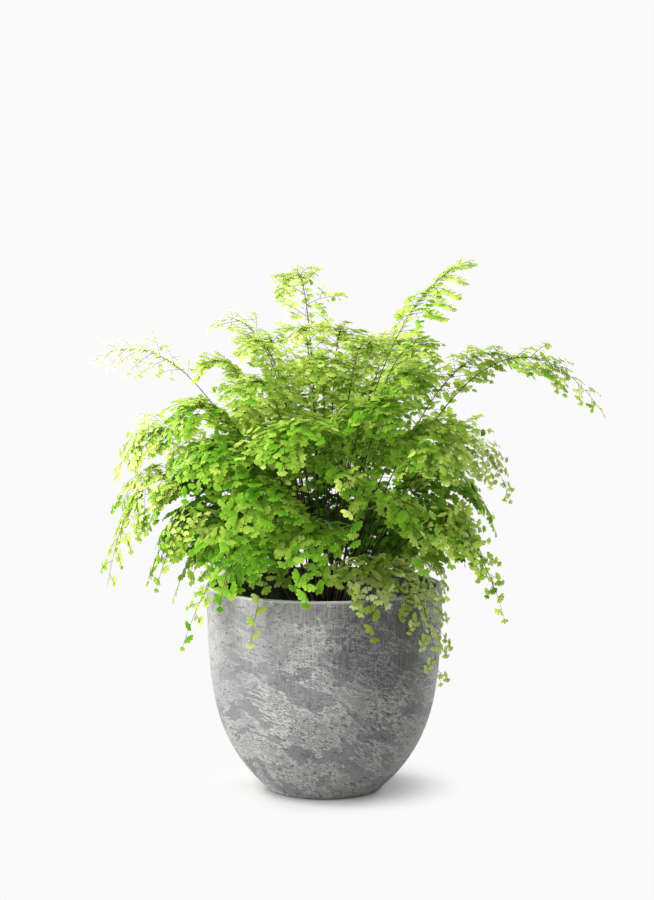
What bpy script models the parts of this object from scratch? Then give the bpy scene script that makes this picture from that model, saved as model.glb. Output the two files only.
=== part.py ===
"""Maidenhair fern growing in a deep round planter.

Metres, +Z up. The origin is the centre of the planter's foot, on the surface that it stands on.
The plant is a fountain of arching fronds. Each rises from the crown in its own upright plane, and
the lower it belongs, the further out it starts and the further over it leans. The fronds follow
each other round the crown by the golden angle, from the top down, so that no two share a plane.
"""

import math
import random
from collections import namedtuple

import bmesh
import bpy
from mathutils import Vector

# Planter
RIM_RADIUS = 0.1455
FOOT_RADIUS = 0.068
HEIGHT = 0.255
FLARE = 0.008  # how much of the widening runs evenly from foot to rim
BELLY_POWER = 4.2  # how quickly the rest of it is reached above the foot
WALL = 0.008
FLOOR_THICKNESS = 0.012
AROUND = 64  # sides of the turned pieces
OUTER_STEPS = 10
LIP_STEPS = 4
INNER_STEPS = 6
STEP_POWER = 1.4  # above 1 the steps lie closer together near the foot, where the wall bends most

# Drain holes through the planter's floor, and the mesh over them
DRAIN_HOLES = 3
DRAIN_RADIUS = 0.007
DRAIN_RING = 0.032  # the holes' distance from the axis
DRAIN_SIDES = 12
MESH_CELLS = 11  # cells along each side, every other one of them open
MESH_PITCH = 0.008
MESH_THICKNESS = 0.0012

# Soil and crown
GAP = 0.0003  # clearance between pieces that rest on each other
SOIL_TOP = 0.210
SOIL_SETTLED = 0.003  # how much lower it lies along the wall
SOIL_MOUND = 0.004  # how far past the crown the soil lies level
CROWN_RADIUS = 0.050
CROWN_HEIGHT = 0.012
CROWN_RINGS = (0.97, 0.84, 0.68, 0.50, 0.25)  # shares of its radius

# Fronds
STIPE_RADIUS = 0.0011
TIP_RADIUS = 0.0005
BLADE_THICKNESS = 0.0011
STIPE_RINGS = 5
PINNA_ANGLE = math.radians(62)  # between a pinna and the rachis
PINNA_DROOP = 0.30  # how far a pinna sinks below the blade's plane, for its length
PINNA_FOOT = 0.0024  # length of the pinna's foot along the rachis
PINNA_HALF_WIDTH = 0.21  # for its length
PINNA_WIDEST = 0.46  # how far along the pinna it is widest
END_PINNA = 0.018  # length of the single pinna at the frond's end
LAST_PAIR = 0.97  # the pairs stand before this share of the frond
LAST_RING = 0.985
BLADE_TAPER = 0.7  # below 1 the blade stays wide for longer
BLADE_FOOT = 0.72  # how long the first pinnae are beside the longest
BLADE_SWELL = 0.25  # how far along the blade the longest are
LEADER_WIDTH = 0.9  # a leader's blade beside its stage's
WIDE_BLADE = 0.060  # from this half width a blade has a pair of pinnae more
SEED = 7

# A frond's curve starts on the crown, leans towards pull and ends at tip. Both are given as
# (distance from the axis, height). Sway bends the curve sideways.
Frond = namedtuple("Frond", "azimuth root pull tip blade width pairs sway")

# How the fronds change from the topmost, stage 0, to the lowest: the root's distance from the
# axis, pull and tip, where the blade starts along the frond, and the blade's half width
Stage = namedtuple("Stage", "root pull_out pull_up tip_out tip_up blade width")
STAGES = (
    Stage(0.009, 0.040, 0.650, 0.100, 0.565, 0.54, 0.052),
    Stage(0.016, 0.085, 0.630, 0.150, 0.518, 0.50, 0.062),
    Stage(0.023, 0.145, 0.575, 0.215, 0.425, 0.46, 0.070),
    Stage(0.030, 0.165, 0.525, 0.243, 0.335, 0.42, 0.072),
    Stage(0.037, 0.155, 0.445, 0.222, 0.255, 0.40, 0.066),
    Stage(0.044, 0.118, 0.398, 0.178, 0.224, 0.40, 0.048),
)

# The fronds that give this plant its outline
Leader = namedtuple("Leader", "stage azimuth pull tip sway")
LEADERS = (
    Leader(0, 12, (0.054, 0.607), (0.183, 0.650), 0.000),
    Leader(0, 118, (0.030, 0.730), (0.085, 0.612), 0.006),
    Leader(0, 166, (0.050, 0.640), (0.146, 0.568), 0.000),
    Leader(1, 44, (0.090, 0.640), (0.160, 0.520), 0.000),
    Leader(2, 352, (0.190, 0.680), (0.338, 0.468), 0.000),
    Leader(2, 20, (0.165, 0.630), (0.282, 0.505), 0.004),
    Leader(2, 172, (0.150, 0.610), (0.290, 0.527), 0.000),
    Leader(2.5, 184, (0.190, 0.560), (0.256, 0.385), 0.000),
    Leader(3, 336, (0.170, 0.560), (0.240, 0.370), 0.000),
    Leader(3, 190, (0.215, 0.545), (0.266, 0.262), 0.000),
    Leader(4, 334, (0.170, 0.445), (0.237, 0.229), 0.000),
    Leader(4, 206, (0.170, 0.450), (0.224, 0.266), 0.007),
    Leader(5, 216, (0.130, 0.385), (0.206, 0.199), 0.000),
    Leader(5, 240, (0.112, 0.385), (0.172, 0.208), 0.000),
    Leader(5, 290, (0.112, 0.385), (0.170, 0.217), 0.000),
    Leader(5, 318, (0.130, 0.395), (0.184, 0.156), 0.000),
)

# The others follow each other round the crown by the golden angle, from the top down
OTHERS = 59
GOLDEN_ANGLE = 137.508
FIRST_AZIMUTH = 250
STAGE_POWER = 0.86  # below 1 there are more low fronds than high ones
ROOM = (20, 0.64)  # an azimuth and a number of stages: nearer to a leader than both, none grows
OPEN_SIDE = (278, 296)  # azimuths where the stipes are in view below the middle stages
OPEN_STAGES = (3.0, 4.6)
REACH_JITTER = 0.008
SWAY_JITTER = 0.008


def clear_scene():
    for item in list(bpy.data.objects):
        bpy.data.objects.remove(item, do_unlink=True)


def make_material(name, colour, roughness, metallic=0.0):
    material = bpy.data.materials.new(name)
    material.use_nodes = True
    shader = material.node_tree.nodes["Principled BSDF"]
    shader.inputs["Base Color"].default_value = (*colour, 1.0)
    shader.inputs["Roughness"].default_value = roughness
    shader.inputs["Metallic"].default_value = metallic
    return material


def add_object(name, mesh, *materials):
    for material in materials:
        mesh.materials.append(material)
    mesh.shade_smooth()
    mesh.set_sharp_from_angle(angle=math.radians(35))
    item = bpy.data.objects.new(name, mesh)
    bpy.context.scene.collection.objects.link(item)
    return item


def turned_mesh(name, profile, sides=AROUND):
    """A closed solid of revolution. The profile's two ends lie on the axis, and it runs
    anticlockwise as seen with the axis on the left."""
    shape = bmesh.new()
    rings = []
    for radius, height in profile[1:-1]:
        ring = []
        for side in range(sides):
            angle = 2 * math.pi * side / sides
            ring.append(shape.verts.new((radius * math.cos(angle), radius * math.sin(angle), height)))
        rings.append(ring)
    first = shape.verts.new((0.0, 0.0, profile[0][1]))
    last = shape.verts.new((0.0, 0.0, profile[-1][1]))
    for side in range(sides):
        after = (side + 1) % sides
        shape.faces.new((first, rings[0][after], rings[0][side]))
        for low, high in zip(rings, rings[1:]):
            shape.faces.new((low[side], low[after], high[after], high[side]))
        shape.faces.new((last, rings[-1][side], rings[-1][after]))
    mesh = bpy.data.meshes.new(name)
    shape.to_mesh(mesh)
    shape.free()
    return mesh


# ---------------------------------------------------------------- planter, mesh, soil, crown


def outer_radius(height):
    share = height / HEIGHT
    belly = 1 - (1 - share) ** BELLY_POWER
    return FOOT_RADIUS + (RIM_RADIUS - FOOT_RADIUS - FLARE) * belly + FLARE * share


def inner_outline():
    """The planter's inner wall from its floor to the foot of its lip, as (radius, height)."""
    outline = []
    for step in range(INNER_STEPS + 1):
        rise = (HEIGHT - WALL / 2 - FLOOR_THICKNESS) * (step / INNER_STEPS) ** STEP_POWER
        height = FLOOR_THICKNESS + rise
        outline.append((outer_radius(height) - WALL, height))
    return outline


def inner_radius(height):
    """Where the inner wall is at a height, along the straight lines of its outline."""
    outline = inner_outline()
    for (low_radius, low), (high_radius, high) in zip(outline, outline[1:]):
        if height <= high:
            return low_radius + (high_radius - low_radius) * (height - low) / (high - low)
    return outline[-1][0]


def planter_profile():
    lip = WALL / 2
    shoulder = HEIGHT - lip
    profile = [(0.0, 0.0), (FOOT_RADIUS, 0.0)]
    for step in range(1, OUTER_STEPS + 1):
        height = shoulder * (step / OUTER_STEPS) ** STEP_POWER
        profile.append((outer_radius(height), height))
    middle = outer_radius(shoulder) - lip
    for step in range(1, LIP_STEPS):
        angle = math.pi * step / LIP_STEPS
        profile.append((middle + lip * math.cos(angle), shoulder + lip * math.sin(angle)))
    profile += reversed(inner_outline())
    profile.append((0.0, FLOOR_THICKNESS))
    return profile


def build_planter(material):
    planter = add_object("planter", turned_mesh("planter", planter_profile()), material)
    for hole in range(DRAIN_HOLES):
        angle = 2 * math.pi * hole / DRAIN_HOLES + math.pi / 2
        bpy.ops.mesh.primitive_cylinder_add(
            vertices=DRAIN_SIDES,
            radius=DRAIN_RADIUS,
            depth=4 * FLOOR_THICKNESS,
            location=(DRAIN_RING * math.cos(angle), DRAIN_RING * math.sin(angle), 0.0),
            rotation=(0.0, 0.0, angle + math.pi / DRAIN_SIDES),
        )
        cutter = bpy.context.object
        cutter.name = f"drain_cutter_{hole + 1}"
        cutter.hide_render = True
        cutter.display_type = "WIRE"
        cut = planter.modifiers.new(cutter.name, "BOOLEAN")
        cut.object = cutter
    return planter


def build_drain_mesh(material):
    """A square of moulded plastic mesh, lying on the planter's floor."""
    bottom = FLOOR_THICKNESS + GAP
    start = -MESH_CELLS * MESH_PITCH / 2
    shape = bmesh.new()
    corners = {}

    def corner(column, row):
        if (column, row) not in corners:
            place = (start + column * MESH_PITCH, start + row * MESH_PITCH, bottom)
            corners[column, row] = shape.verts.new(place)
        return corners[column, row]

    for column in range(MESH_CELLS):
        for row in range(MESH_CELLS):
            if column % 2 and row % 2:
                continue
            around = ((0, 0), (0, 1), (1, 1), (1, 0))
            shape.faces.new([corner(column + across, row + along) for across, along in around])
    lifted = bmesh.ops.extrude_face_region(shape, geom=list(shape.faces))
    top = [item for item in lifted["geom"] if isinstance(item, bmesh.types.BMVert)]
    bmesh.ops.translate(shape, verts=top, vec=(0.0, 0.0, MESH_THICKNESS))
    bmesh.ops.recalc_face_normals(shape, faces=list(shape.faces))
    mesh = bpy.data.meshes.new("drain_mesh")
    shape.to_mesh(mesh)
    shape.free()
    return add_object("drain_mesh", mesh, material)


def build_soil(material):
    bottom = FLOOR_THICKNESS + MESH_THICKNESS + 2 * GAP
    edge = SOIL_TOP - SOIL_SETTLED
    between = [height for radius, height in inner_outline() if bottom < height < edge]
    profile = [(0.0, bottom)]
    for height in (bottom, *between, edge):
        profile.append((inner_radius(height) - 2 * GAP, height))
    profile.append((CROWN_RADIUS + SOIL_MOUND, SOIL_TOP))
    profile.append((0.0, SOIL_TOP))
    return add_object("potting_soil", turned_mesh("potting_soil", profile), material)


def crown_top(radius):
    return SOIL_TOP + GAP + CROWN_HEIGHT * (1 - (radius / CROWN_RADIUS) ** 2)


def build_crown(material):
    profile = [(0.0, SOIL_TOP + GAP), (CROWN_RADIUS, SOIL_TOP + GAP)]
    for share in CROWN_RINGS:
        radius = CROWN_RADIUS * share
        profile.append((radius, crown_top(radius)))
    profile.append((0.0, crown_top(0.0)))
    return add_object("rootstock_crown", turned_mesh("rootstock_crown", profile, 32), material)


# ---------------------------------------------------------------- fronds


def stage_at(height):
    """The stage between two of the table's, for a number such as 2.4."""
    low = min(int(height), len(STAGES) - 2)
    part = height - low
    return Stage(*(a + (b - a) * part for a, b in zip(STAGES[low], STAGES[low + 1])))


def has_room(stage, azimuth):
    for leader in LEADERS:
        apart = abs((leader.azimuth - azimuth + 180) % 360 - 180)
        if apart < ROOM[0] and abs(leader.stage - stage) < ROOM[1]:
            return False
    open_side = OPEN_SIDE[0] < azimuth < OPEN_SIDE[1]
    return not (open_side and OPEN_STAGES[0] < stage < OPEN_STAGES[1])


def pairs_for(stage):
    return 5 if stage.width < WIDE_BLADE else 6


def lay_out_fronds():
    """Every frond of the plant: the leaders, then the ones between them."""
    chance = random.Random(SEED)
    fronds = []
    for leader in LEADERS:
        own = stage_at(leader.stage)
        width = own.width * LEADER_WIDTH
        fronds.append(
            Frond(
                leader.azimuth, own.root, leader.pull, leader.tip,
                own.blade, width, pairs_for(own), leader.sway,
            )
        )
    for index in range(OTHERS):
        reach = chance.uniform(-REACH_JITTER, REACH_JITTER)
        lift = chance.uniform(-REACH_JITTER, REACH_JITTER)
        sway = chance.uniform(-SWAY_JITTER, SWAY_JITTER)
        height = (len(STAGES) - 1) * ((index + 0.5) / OTHERS) ** STAGE_POWER
        azimuth = (FIRST_AZIMUTH + index * GOLDEN_ANGLE) % 360
        if not has_room(height, azimuth):
            continue
        own = stage_at(height)
        pull = (own.pull_out + reach / 2, own.pull_up + lift)
        tip = (own.tip_out + reach, own.tip_up + lift)
        fronds.append(Frond(azimuth, own.root, pull, tip, own.blade, own.width, pairs_for(own), sway))
    return fronds


class FrondCurve:
    """The curve that a frond's stipe and rachis follow, from 0 at the crown to 1 at the tip."""

    def __init__(self, frond):
        angle = math.radians(frond.azimuth)
        self.out = Vector((math.cos(angle), math.sin(angle), 0.0))
        self.side = Vector((-math.sin(angle), math.cos(angle), 0.0))
        self.sway = frond.sway
        leaning = Vector((frond.pull[0] - frond.root, frond.pull[1] - SOIL_TOP)).normalized()
        seat = crown_top(frond.root) + GAP + STIPE_RADIUS * leaning.x
        self.ends = ((frond.root, seat), frond.pull, frond.tip)

    def point(self, share):
        weights = ((1 - share) ** 2, 2 * share * (1 - share), share**2)
        reach = sum(weight * end[0] for weight, end in zip(weights, self.ends))
        height = sum(weight * end[1] for weight, end in zip(weights, self.ends))
        return self.out * reach + self.side * self.sway * share**2 + Vector((0.0, 0.0, height))

    def frame(self, share):
        """Where the curve is, the way it runs, the way across it, and the blade's upper side."""
        step = 0.01
        along = (self.point(min(1.0, share + step)) - self.point(max(0.0, share - step))).normalized()
        across = (self.side - along * self.side.dot(along)).normalized()
        return self.point(share), along, across, along.cross(across)


def pinna_length(frond, share):
    """Length of a pinna, for how far along the blade it grows."""
    swell = BLADE_FOOT + (1 - BLADE_FOOT) * min(1.0, share / BLADE_SWELL)
    return frond.width * (1 - share) ** BLADE_TAPER * swell


def grow_pinna(shape, foot, place, direction, across, upper, length, slot):
    """A flat diamond blade on the four corners of foot, which run round it with faces out."""
    half_width = PINNA_HALF_WIDTH * length
    half_thick = upper * (BLADE_THICKNESS / 2)
    middle = place + direction * (PINNA_WIDEST * length)
    widest = (
        middle - across * half_width - half_thick,
        middle + across * half_width - half_thick,
        middle + across * half_width + half_thick,
        middle - across * half_width + half_thick,
    )
    widest = [shape.verts.new(corner) for corner in widest]
    apex = shape.verts.new(place + direction * length)
    for index in range(4):
        after = (index + 1) % 4
        shape.faces.new((foot[index], foot[after], widest[after], widest[index])).material_index = slot
        shape.faces.new((widest[index], widest[after], apex)).material_index = slot


def build_frond(name, frond, stem_material, leaf_material):
    """One closed solid: a square stipe that tapers to the tip, with a flat pinna growing from
    each side of it at every pair, and one at its end."""
    curve = FrondCurve(frond)
    length = sum((curve.point(i / 20) - curve.point((i + 1) / 20)).length for i in range(20))
    foot_share = PINNA_FOOT / length
    shares = [frond.blade * index / STIPE_RINGS for index in range(STIPE_RINGS)]
    pairs = []
    for index in range(frond.pairs):
        along_blade = (index + 0.25) / frond.pairs
        share = frond.blade + (LAST_PAIR - frond.blade) * along_blade
        pairs.append((len(shares), share, along_blade))
        shares += [share, share + foot_share]
    shares.append(LAST_RING)

    shape = bmesh.new()
    rings = []
    for share in shares:
        place, along, across, upper = curve.frame(share)
        half = STIPE_RADIUS + (TIP_RADIUS - STIPE_RADIUS) * share
        offsets = (across - upper, across + upper, upper - across, -across - upper)
        rings.append([shape.verts.new(place + offset * half) for offset in offsets])
    shape.faces.new(rings[0])
    grown = {index for index, share, along_blade in pairs}
    for index, (low, high) in enumerate(zip(rings, rings[1:])):
        for side in range(4):
            after = (side + 1) % 4
            if side in (0, 2) and index in grown:
                continue
            shape.faces.new((low[after], low[side], high[side], high[after]))
    for index, share, along_blade in pairs:
        low, high = rings[index], rings[index + 1]
        place, along, across, upper = curve.frame(share + foot_share / 2)
        reach = pinna_length(frond, along_blade)
        feet = ((1, (low[0], high[0], high[1], low[1])), (-1, (high[3], low[3], low[2], high[2])))
        for hand, foot in feet:
            direction = along * math.cos(PINNA_ANGLE) + across * (hand * math.sin(PINNA_ANGLE))
            direction = (direction - upper * PINNA_DROOP).normalized()
            wide = (along - direction * direction.dot(along)).normalized()
            normal = wide.cross(direction) * hand
            grow_pinna(shape, foot, place, direction, wide * hand, normal, reach, 1)
    place, along, across, upper = curve.frame(1.0)
    end = rings[-1]
    foot = (end[3], end[0], end[1], end[2])
    grow_pinna(shape, foot, curve.point(LAST_RING), along, across, upper, END_PINNA, 1)
    bmesh.ops.recalc_face_normals(shape, faces=list(shape.faces))
    mesh = bpy.data.meshes.new(name)
    shape.to_mesh(mesh)
    shape.free()
    return add_object(name, mesh, stem_material, leaf_material)


def main():
    clear_scene()
    build_planter(make_material("planter_stone", (0.23, 0.23, 0.24), 0.55))
    build_drain_mesh(make_material("mesh_plastic", (0.02, 0.02, 0.02), 0.6))
    build_soil(make_material("potting_soil", (0.035, 0.022, 0.015), 0.95))
    build_crown(make_material("rootstock", (0.030, 0.016, 0.010), 0.85))
    stem_material = make_material("stipe", (0.018, 0.008, 0.006), 0.35)
    leaf_material = make_material("leaflet", (0.13, 0.34, 0.03), 0.5)
    for number, frond in enumerate(lay_out_fronds(), 1):
        build_frond(f"frond_{number:02d}", frond, stem_material, leaf_material)


main()
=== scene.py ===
"""The looks of the potted maidenhair fern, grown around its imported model.

Every frond follows the same curve as its solid in the frame: the sizes, lay_out_fronds and
FrondCurve say what they say in part.py. What is added is the fine growth, which is stems, branches,
stalks and lobed leaflets, and the finish of the planter, the soil and the crown. Lengths are in
metres, angles in degrees where a comment says so, and shares run from 0 to 1.
"""

import math
import random
from collections import namedtuple
from itertools import combinations

import bpy
import numpy as np
from mathutils import Matrix, Vector, noise


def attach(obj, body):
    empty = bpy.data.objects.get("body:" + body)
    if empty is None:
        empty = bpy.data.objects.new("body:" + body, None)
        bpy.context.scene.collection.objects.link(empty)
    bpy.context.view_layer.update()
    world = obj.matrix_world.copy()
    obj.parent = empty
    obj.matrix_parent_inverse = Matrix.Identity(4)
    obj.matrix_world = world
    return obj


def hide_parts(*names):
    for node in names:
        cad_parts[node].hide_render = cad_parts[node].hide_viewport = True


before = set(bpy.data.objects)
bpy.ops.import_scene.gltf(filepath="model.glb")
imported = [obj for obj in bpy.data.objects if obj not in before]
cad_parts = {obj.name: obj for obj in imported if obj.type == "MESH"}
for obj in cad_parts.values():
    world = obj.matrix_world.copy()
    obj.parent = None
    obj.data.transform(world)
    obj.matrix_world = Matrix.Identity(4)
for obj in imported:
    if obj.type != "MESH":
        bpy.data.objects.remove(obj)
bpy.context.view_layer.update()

# ------------ sizes shared with part.py

RIM_RADIUS = 0.1455
FOOT_RADIUS = 0.068
HEIGHT = 0.255
FLARE = 0.008
BELLY_POWER = 4.2
WALL = 0.008
FLOOR_THICKNESS = 0.012
GAP = 0.0003
SOIL_TOP = 0.210
CROWN_RADIUS = 0.050
CROWN_HEIGHT = 0.012
SOIL_SETTLED = 0.003
MESH_THICKNESS = 0.0012
DRAIN_HOLES = 3
DRAIN_RADIUS = 0.007
DRAIN_RING = 0.032
STIPE_RADIUS = 0.0011
SEED = 7

# A frond's curve starts on the crown at root, leans towards pull and ends at tip. Both are given as
# (distance from the axis, height), and azimuths are in degrees. Sway bends the curve sideways.
Frond = namedtuple("Frond", "azimuth root pull tip blade width sway")

# How the fronds change from the topmost, stage 0, to the lowest: the root's distance from the
# axis, pull and tip, where the blade starts along the frond, and the blade's half width
Stage = namedtuple("Stage", "root pull_out pull_up tip_out tip_up blade width")
STAGES = (
    Stage(0.009, 0.040, 0.650, 0.100, 0.565, 0.54, 0.052),
    Stage(0.016, 0.085, 0.630, 0.150, 0.518, 0.50, 0.062),
    Stage(0.023, 0.145, 0.575, 0.215, 0.425, 0.46, 0.070),
    Stage(0.030, 0.165, 0.525, 0.243, 0.335, 0.42, 0.072),
    Stage(0.037, 0.155, 0.445, 0.222, 0.255, 0.40, 0.066),
    Stage(0.044, 0.118, 0.398, 0.178, 0.224, 0.40, 0.048),
)

# The fronds that give this plant its outline. Each takes what isn't given from its stage.
LEADER_WIDTH = 0.9  # how wide their blades are beside the stage's
Leader = namedtuple("Leader", "stage azimuth pull tip sway")
LEADERS = (
    Leader(0, 12, (0.054, 0.607), (0.183, 0.650), 0.000),
    Leader(0, 118, (0.030, 0.730), (0.085, 0.612), 0.006),
    Leader(0, 166, (0.050, 0.640), (0.146, 0.568), 0.000),
    Leader(1, 44, (0.090, 0.640), (0.160, 0.520), 0.000),
    Leader(2, 352, (0.190, 0.680), (0.338, 0.468), 0.000),
    Leader(2, 20, (0.165, 0.630), (0.282, 0.505), 0.004),
    Leader(2, 172, (0.150, 0.610), (0.290, 0.527), 0.000),
    Leader(2.5, 184, (0.190, 0.560), (0.256, 0.385), 0.000),
    Leader(3, 336, (0.170, 0.560), (0.240, 0.370), 0.000),
    Leader(3, 190, (0.215, 0.545), (0.266, 0.262), 0.000),
    Leader(4, 334, (0.170, 0.445), (0.237, 0.229), 0.000),
    Leader(4, 206, (0.170, 0.450), (0.224, 0.266), 0.007),
    Leader(5, 216, (0.130, 0.385), (0.206, 0.199), 0.000),
    Leader(5, 240, (0.112, 0.385), (0.172, 0.208), 0.000),
    Leader(5, 290, (0.112, 0.385), (0.170, 0.217), 0.000),
    Leader(5, 318, (0.130, 0.395), (0.184, 0.156), 0.000),
)

# The others follow each other round the crown by the golden angle, top down
OTHERS = 59
GOLDEN_ANGLE = 137.508
FIRST_AZIMUTH = 250
STAGE_POWER = 0.86  # below 1 there are more low fronds than high ones
ROOM = (20, 0.64)  # an azimuth and a number of stages: nearer to a leader than both, none grows
OPEN_SIDE = (278, 296)  # azimuths where the stipes are in view below the middle stages
OPEN_STAGES = (3.0, 4.6)
REACH_JITTER = 0.008
SWAY_JITTER = 0.008
CURVE_STEP = 0.01  # a curve's direction is taken over this share of it, to each side

# ------------ sizes of the fine growth

# How a frond grows: leaflet radius, how far its branches reach beside its blade's half width, how
# far they hang, how loosely the leaflets are set, how old it looks, where its branches start beside
# where the solid's blade does, and how its outline narrows towards the tip. HABITS has one row for
# each stage, and LEADER_HABITS one for each leader.
Habit = namedtuple("Habit", "leaf reach hang loose age bare taper")
HABITS = (
    Habit(0.0088, 1.42, 0.8, 1.62, 0.28, 0.36, 0.7),
    Habit(0.0098, 1.42, 0.8, 1.42, 0.42, 0.52, 0.7),
    Habit(0.0120, 1.42, 0.9, 1.00, 0.56, 0.74, 0.7),
    Habit(0.0136, 1.42, 1.0, 1.00, 0.64, 0.74, 0.7),
    Habit(0.0142, 1.42, 1.0, 1.00, 0.68, 0.74, 0.7),
    Habit(0.0144, 1.42, 1.0, 1.02, 0.54, 0.74, 0.7),
)
LEADER_HABITS = (
    Habit(0.0092, 1.25, 1.0, 1.05, 0.36, 1.10, 0.5),
    Habit(0.0088, 1.05, 0.9, 1.05, 0.36, 0.85, 0.30),
    Habit(0.0072, 1.10, 0.6, 1.70, 0.02, 1.00, 0.6),
    Habit(0.0096, 1.70, 0.7, 1.00, 0.30, 0.74, 0.4),
    Habit(0.0096, 0.85, 0.9, 1.20, 0.29, 1.35, 0.7),
    Habit(0.0100, 1.05, 1.0, 1.10, 0.33, 0.74, 0.7),
    Habit(0.0066, 1.05, 0.8, 2.00, 0.04, 1.20, 0.6),
    Habit(0.0106, 1.10, 1.3, 1.06, 0.36, 1.00, 0.6),
    Habit(0.0086, 1.10, 0.9, 1.40, 0.16, 1.00, 0.6),
    Habit(0.0096, 1.02, 1.4, 1.18, 0.34, 1.10, 0.5),
    Habit(0.0098, 0.70, 1.1, 1.15, 0.34, 0.90, 0.7),
    Habit(0.0100, 0.75, 1.2, 1.05, 0.40, 0.90, 0.7),
    Habit(0.0102, 0.90, 1.1, 1.10, 0.38, 0.80, 0.7),
    Habit(0.0112, 0.72, 1.0, 1.30, 0.20, 1.05, 0.7),
    Habit(0.0118, 1.10, 1.1, 1.10, 0.16, 0.90, 0.6),
    Habit(0.0086, 1.60, 1.4, 1.40, 0.00, 0.80, 0.45),
)

# Differences between the sides, for the fronds that don't lead
WINDOW = (284, 24)  # the side where the stipes show, and how wide it is, in degrees of azimuth
WINDOW_TOP = 2.2  # the stage where it ends
WINDOW_REACH = 0.62  # how much of their reach the branches lose there
WINDOW_START = 0.06  # how much farther along the frond they start there
BACK = (90, 70)  # the back, and how far it goes to each side, in degrees of azimuth
BACK_TOP = 3  # the stage below which it has branches from lower down
BACK_START = 0.13  # how much lower along the frond they start
PAINTED_SIDE_AZIMUTH = 330  # the azimuth where fronds above WINDOW_TOP get the most painted shade, and those below the most painted light; on the far side it is the other way round
SIDE_PAINTED_SHADE_AND_LIGHT = (0.06, -0.12)  # the painted shade and painted light that the two kinds get there, added to their age

# How the leaflets lie
ROLL = (0.75, 0.25)  # how far a leader's blade and another's rolls towards the viewer, in radians
ROLL_JITTER = 0.30
LEVEL_STAGES = (1.2, 2.6)  # up to the first of these stages leaflets lie level, past the second not
LEVEL_CALM = 0.45  # how much of its roll and of its leaflets' disorder a level frond loses
FACING = (0.7, 0.25, 0.5)  # how much a leaflet faces its blade's upper side, the sky and outwards
FACING_LEVEL = (-0.2, 0.6, -0.3)  # what a level frond adds to each of the three
FACING_JITTER = 0.5

# How the leaflets' ages differ, from 0, pale and new, to 1, dark and old. The same number also
# carries painted shade
BRANCH_AGE_SPREAD = 0.10
LEAF_AGE_SPREAD = 0.12
DEEP_PAINTED_SHADE = 0.48  # painted shade: how much older and darker they are made in the depth of the plant, where shade falls
DEEP_RADIUS = 0.17  # how far from the axis that ends
DEEP_TOP = 0.50  # where it starts, going down
DEEP_FADE = 0.12  # how far below that it is complete

# Stems and branches
STIPE_TAPER = (0.92, 0.77, 0.8)  # its thickness at the foot, what it loses to the tip, and how soon
STIPE_STEPS = 30
RACHIS_STEPS = 20
BRANCH_STEP = 0.0100  # along the rachis, from a branch to the next on the other side
BRANCH_PLACE = 0.3  # where in its step a branch stands
BRANCH_ANGLE = math.radians(60)
BRANCH_JITTER = 0.22  # in radians
BRANCH_VARY = (0.72, 1.18)  # how its length varies
BRANCH_DIP = (-0.15, 0.25)  # how far it points below the blade
BRANCH_TAPER = 0.6  # how much of its thickness it loses
LOW_BRANCHES = (0.70, 0.30, 0.25)  # the lowest's length, the gain above it, and where it ends
TIP_LOSS = 0.25  # of its angle and its leaflets' size, towards the blade's tip
BRANCH_BEND = 0.006  # the length of a branch that stays straight
HANG_LENGTH = 0.075  # a branch this long bends down by its habit's hang
BRANCH_RADII = (0.00034, 0.00026)  # of a branch and of its side twigs
BRANCH_SIDES = (4, 3)
SHORTEST_BRANCH = 1.3  # in leaflet radii: anything shorter is a single leaflet
SHORTEST_TWIG = 1.6
TWIG_STEP = 0.85  # along a branch, from side twig to side twig, in leaflet radii
TWIG_SHARE = 0.50  # how long a branch's own side twigs are, beside what is left of the branch
TWIG_LEAF = 0.92  # a twig's leaflets beside its branch's
LEAF_STEP = 0.54  # along a branch, from leaflet to leaflet, in leaflet radii
FIRST_LEAF = 0.45  # from a branch's foot to its first leaflet, in leaflet radii
LEAF_ANGLE = math.radians(64)
LEAF_JITTER = 0.15  # in radians
LEAF_VARY = (0.80, 1.12)  # how its size varies
LAST_LEAF = 0.68  # a branch's end leaflet, beside its others
STALK_SHARE = 0.20  # a leaflet's stalk, beside its radius
STALK_RADII = (0.00022, 0.00018)


# ------------ where the fronds run


def outer_radius(height):
    share = height / HEIGHT
    belly = 1 - (1 - share) ** BELLY_POWER
    return FOOT_RADIUS + (RIM_RADIUS - FOOT_RADIUS - FLARE) * belly + FLARE * share


def crown_top(radius):
    return SOIL_TOP + GAP + CROWN_HEIGHT * (1 - (radius / CROWN_RADIUS) ** 2)


def between(rows, place):
    """The row between two of a table's, for a place such as 2.4."""
    low = min(int(place), len(rows) - 2)
    part = place - low
    return type(rows[low])(*(a + (b - a) * part for a, b in zip(rows[low], rows[low + 1])))


def polar(radius, angle, height=0.0):
    return radius * math.cos(angle), radius * math.sin(angle), height


def evenly(low, high, steps):
    """Numbers from low to high in equal steps, with both ends."""
    return [low + (high - low) * step / steps for step in range(steps + 1)]


def azimuth_apart(one, other):
    return abs((one - other + 180) % 360 - 180)


def has_room(stage, azimuth):
    for leader in LEADERS:
        apart = azimuth_apart(leader.azimuth, azimuth)
        if apart < ROOM[0] and abs(leader.stage - stage) < ROOM[1]:
            return False
    open_side = OPEN_SIDE[0] < azimuth < OPEN_SIDE[1]
    return not (open_side and OPEN_STAGES[0] < stage < OPEN_STAGES[1])


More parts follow.
